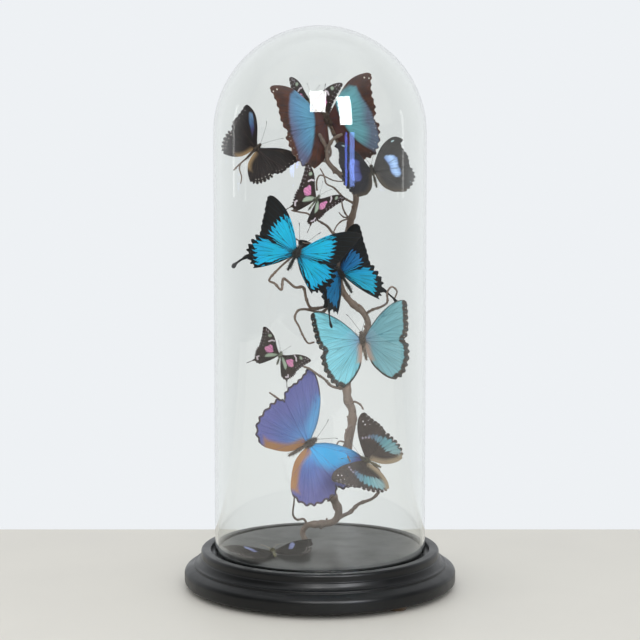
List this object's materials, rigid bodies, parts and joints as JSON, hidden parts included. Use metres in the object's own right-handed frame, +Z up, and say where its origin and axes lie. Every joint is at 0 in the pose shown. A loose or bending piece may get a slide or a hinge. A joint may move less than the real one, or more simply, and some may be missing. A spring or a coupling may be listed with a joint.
{
  "type": "butterflies under a glass dome",
  "caption": "Dried butterflies set on a twisting hazel branch, standing on a black turned base under a tall clear glass dome that lifts off.",
  "frame": {"origin": "on the surface that the feet stand on, below the middle of the base", "axes": "+Z up through the dome, -Y towards the front, +X to the viewer's right"},
  "size_m": [0.258, 0.258, 0.5275],
  "materials": {
    "black_painted_wood": "satin black paint on turned wood",
    "foot_pad": "brown felt",
    "glass": "clear blown glass, thin wall",
    "bark": "dry grey-brown bark, matte",
    "insect_body": "short dark fur and chitin",
    "banded_morpho_wing": "blue band in a chestnut border, dry scales",
    "pale_morpho_wing": "pale blue-green with a brown border, pearly scales",
    "violet_morpho_wing": "violet to azure sheen, thin dark border",
    "blue_swallowtail_wing": "bright blue in a black border, velvety black",
    "pink_swallowtail_wing": "black-brown with pale green and pink spots",
    "dark_brown_wing": "near-black brown with a violet streak",
    "hook_tipped_wing": "black with pale blue patches",
    "banded_brown_wing": "dark brown with a pale blue band"
  },
  "bodies": {
    "root": {"turned_base": "black_painted_wood", "foot_1": "foot_pad", "foot_2": "foot_pad", "foot_3": "foot_pad", "glass_dome": "glass", "branch_foot": "bark", "curly_left_twig": "bark", "left_loop_twig": "bark", "long_thin_twig": "bark", "lower_left_twig": "bark", "lower_right_twig": "bark", "right_curl_twig": "bark", "top_fork": "bark", "trunk_lower": "bark", "trunk_middle": "bark", "trunk_top": "bark", "trunk_upper": "bark", "twig_behind_top_morpho": "bark", "twig_behind_violet_morpho": "bark", "twig_to_hook_tipped_black": "bark", "twig_to_left_swallowtail": "bark", "twig_to_middle_swallowtail": "bark", "twig_to_top_swallowtail": "bark", "twig_to_violet_streaked_brown": "bark", "blue_banded_brown_body": "insect_body", "blue_banded_brown_left_wings": "banded_brown_wing", "blue_banded_brown_right_wings": "banded_brown_wing", "brown_banded_morpho_body": "insect_body", "brown_banded_morpho_left_wings": "banded_morpho_wing", "brown_banded_morpho_right_wings": "banded_morpho_wing", "floor_butterfly_body": "insect_body", "floor_butterfly_left_wings": "dark_brown_wing", "floor_butterfly_right_wings": "dark_brown_wing", "hook_tipped_black_body": "insect_body", "hook_tipped_black_left_wings": "hook_tipped_wing", "hook_tipped_black_right_wings": "hook_tipped_wing", "large_blue_swallowtail_body": "insect_body", "large_blue_swallowtail_left_wings": "blue_swallowtail_wing", "large_blue_swallowtail_right_wings": "blue_swallowtail_wing", "left_pink_swallowtail_body": "insect_body", "left_pink_swallowtail_left_wings": "pink_swallowtail_wing", "left_pink_swallowtail_right_wings": "pink_swallowtail_wing", "middle_pink_swallowtail_body": "insect_body", "middle_pink_swallowtail_left_wings": "pink_swallowtail_wing", "middle_pink_swallowtail_right_wings": "pink_swallowtail_wing", "pale_blue_morpho_body": "insect_body", "pale_blue_morpho_left_wings": "pale_morpho_wing", "pale_blue_morpho_right_wings": "pale_morpho_wing", "right_blue_swallowtail_body": "insect_body", "right_blue_swallowtail_left_wings": "blue_swallowtail_wing", "right_blue_swallowtail_right_wings": "blue_swallowtail_wing", "top_pink_swallowtail_body": "insect_body", "top_pink_swallowtail_left_wings": "pink_swallowtail_wing", "top_pink_swallowtail_right_wings": "pink_swallowtail_wing", "violet_morpho_body": "insect_body", "violet_morpho_left_wings": "violet_morpho_wing", "violet_morpho_right_wings": "violet_morpho_wing", "violet_streaked_brown_body": "insect_body", "violet_streaked_brown_left_wings": "dark_brown_wing", "violet_streaked_brown_right_wings": "dark_brown_wing"}
  },
  "joints": []
}
